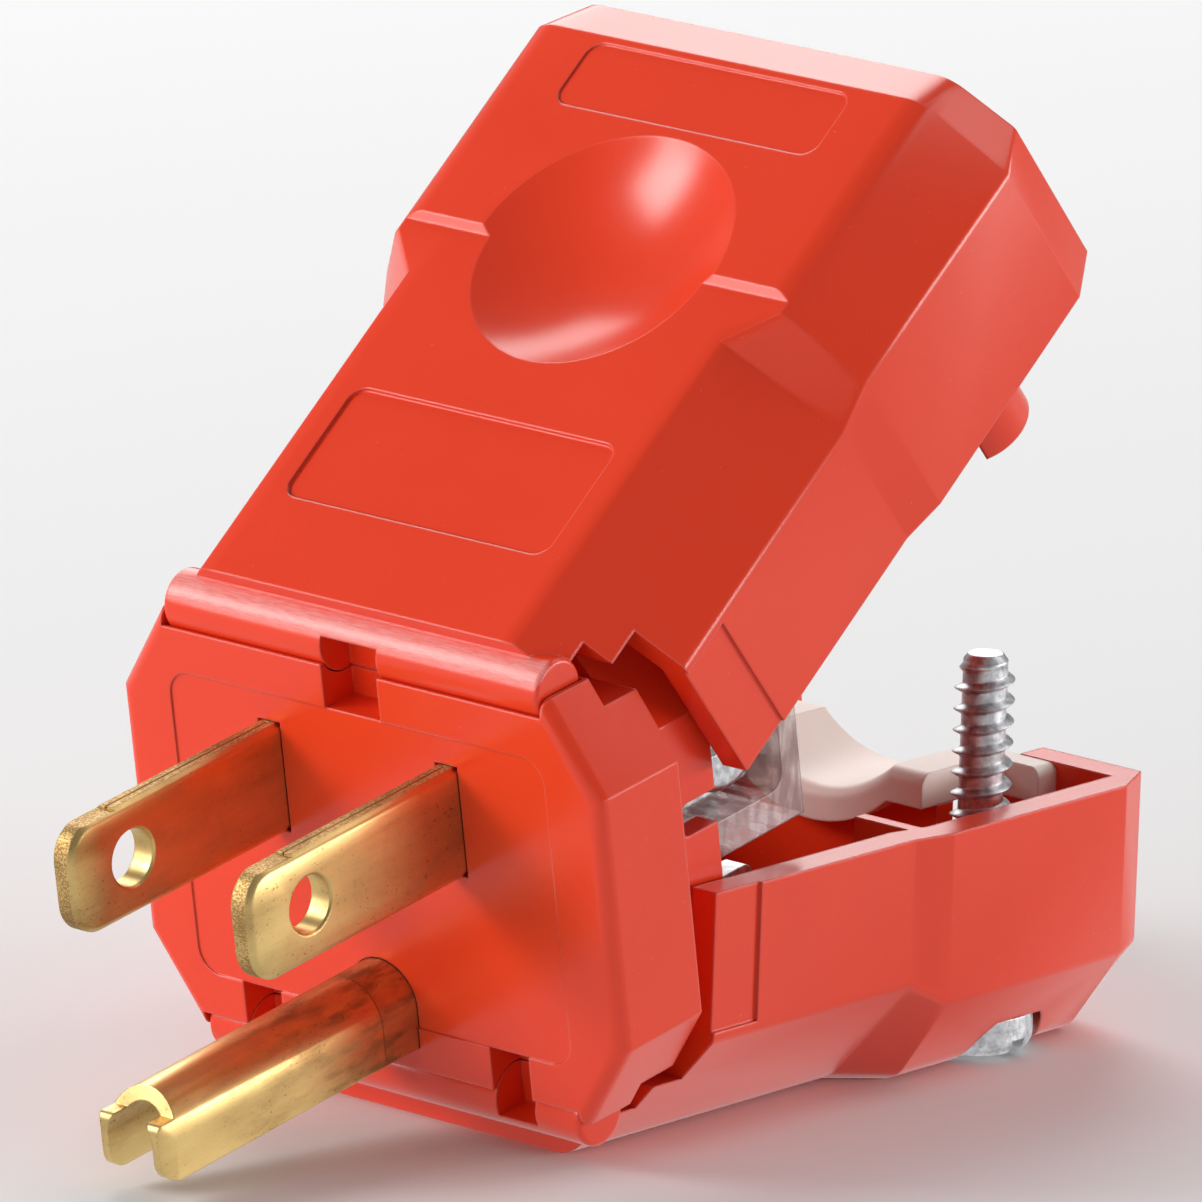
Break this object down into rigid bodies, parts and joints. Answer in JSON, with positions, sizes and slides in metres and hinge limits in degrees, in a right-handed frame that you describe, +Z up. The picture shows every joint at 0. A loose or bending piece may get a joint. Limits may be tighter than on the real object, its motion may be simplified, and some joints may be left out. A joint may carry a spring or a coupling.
{
  "type": "straight blade plug",
  "caption": "Hinged straight blade plug, shown open: a front face with flat brass blades and a U-shaped ground pin between two bright half shells that clamp the cord.",
  "frame": {"origin": "on the flat underside of the lower half, on the centre line, in front of its thumb dimple", "axes": "+X across the plug, +Y back from the blades towards the cord end, +Z up; the plug stands open on its lower half"},
  "size_m": [0.0344, 0.0655, 0.0559],
  "materials": {
    "housing_plastic": "smooth moulded orange-red",
    "face_plastic": "smooth moulded orange-red",
    "brass": "drawn strip, slightly aged",
    "plate_steel": "stamped, plated",
    "brass_screw": "turned",
    "silver_screw": "nickel plated",
    "green_screw": "green dyed",
    "clear_plastic": "clear moulded polycarbonate",
    "cream_nylon": "moulded nylon",
    "zinc_steel": "zinc plated"
  },
  "bodies": {
    "face": {"front_face": "face_plastic", "terminal_block": "clear_plastic", "line_blade": "brass", "neutral_blade": "brass", "ground_pin": "brass", "line_clamp_plate": "plate_steel", "neutral_clamp_plate": "plate_steel", "ground_clamp_plate": "plate_steel", "line_terminal_screw": "brass_screw", "neutral_terminal_screw": "silver_screw", "ground_terminal_screw": "green_screw"},
    "upper_half": {"upper_housing": "housing_plastic"},
    "lower_half": {"lower_housing": "housing_plastic", "cord_clamp": "cream_nylon", "assembly_screws": "zinc_steel"}
  },
  "joints": [
    {"name": "upper_hinge", "type": "hinge", "parent": "face", "child": "upper_half", "pos_m": [0, -0.01391, 0.02722], "axis": [1, 0, 0], "range_deg": [-29.8, 15.2]},
    {"name": "lower_hinge", "type": "hinge", "parent": "face", "child": "lower_half", "pos_m": [0, -0.0093, 0.00295], "axis": [1, 0, 0], "range_deg": [-34.25, 10.75]}
  ]
}
